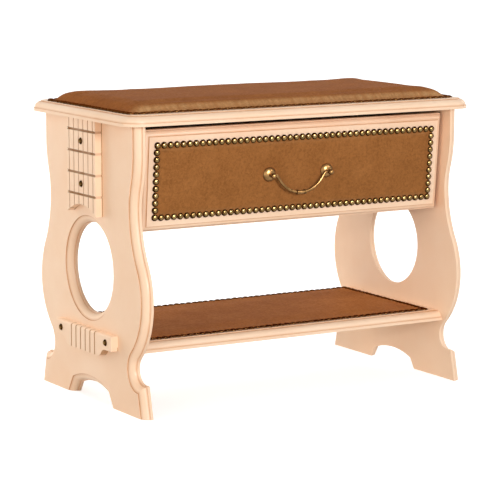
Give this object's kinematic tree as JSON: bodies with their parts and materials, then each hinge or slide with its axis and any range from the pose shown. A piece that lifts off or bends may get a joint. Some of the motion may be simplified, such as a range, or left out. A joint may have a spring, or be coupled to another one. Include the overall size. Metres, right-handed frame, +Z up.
{
  "type": "hall bench",
  "caption": "Hall bench on guitar-shaped side panels, with a padded leather seat, a leather-faced drawer on runners with a swinging bail handle, and an open shoe shelf.",
  "frame": {"origin": "on the floor, under the middle of the seat", "axes": "+X along the bench to the right as seen from the front, +Y to the back, +Z up; the drawer opens towards -Y"},
  "size_m": [0.624, 0.362, 0.474],
  "materials": {
    "cream_paint": "ivory paint, satin, with brown-gold patina left in the grooves",
    "brown_leather": "brown leather with a fine grain and a dull sheen",
    "bronze": "dark bronzed upholstery nails, worn bright on top",
    "antique_brass": "aged brass, darker in the hollows",
    "bare_wood": "bare pale hardwood",
    "hardboard": "smooth hardboard",
    "steel": "zinc-plated screws"
  },
  "bodies": {
    "frame": {"left_side_panel": "cream_paint", "right_side_panel": "cream_paint", "left_fretboard": "cream_paint", "right_fretboard": "cream_paint", "left_bridge": "cream_paint", "right_bridge": "cream_paint", "left_ornament_nails": "bronze", "right_ornament_nails": "bronze", "seat_board": "cream_paint", "seat_pad": "brown_leather", "seat_nails": "bronze", "shelf": "cream_paint", "shelf_leather": "brown_leather", "shelf_nails": "bronze", "back_rail": "cream_paint", "left_runner": "bare_wood", "right_runner": "bare_wood", "runner_screws": "steel", "seat_dowels": "bare_wood", "shelf_dowels": "bare_wood", "rail_dowels": "bare_wood"},
    "drawer": {"drawer_front": "cream_paint", "drawer_leather": "brown_leather", "drawer_nails": "bronze", "drawer_left_side": "bare_wood", "drawer_right_side": "bare_wood", "drawer_back": "bare_wood", "drawer_bottom": "hardboard", "drawer_dowels": "bare_wood", "left_handle_post": "antique_brass", "right_handle_post": "antique_brass", "handle_screws": "steel"},
    "bail": {"handle_bail": "antique_brass"}
  },
  "joints": [
    {"name": "drawer_slide", "type": "slide", "parent": "frame", "child": "drawer", "axis": [0, -1, 0], "range_m": [0, 0.15]},
    {"name": "bail_hinge", "type": "hinge", "parent": "drawer", "child": "bail", "pos_m": [0, -0.15115, 0.3519], "axis": [-1, 0, 0], "range_deg": [-15, 180]}
  ]
}
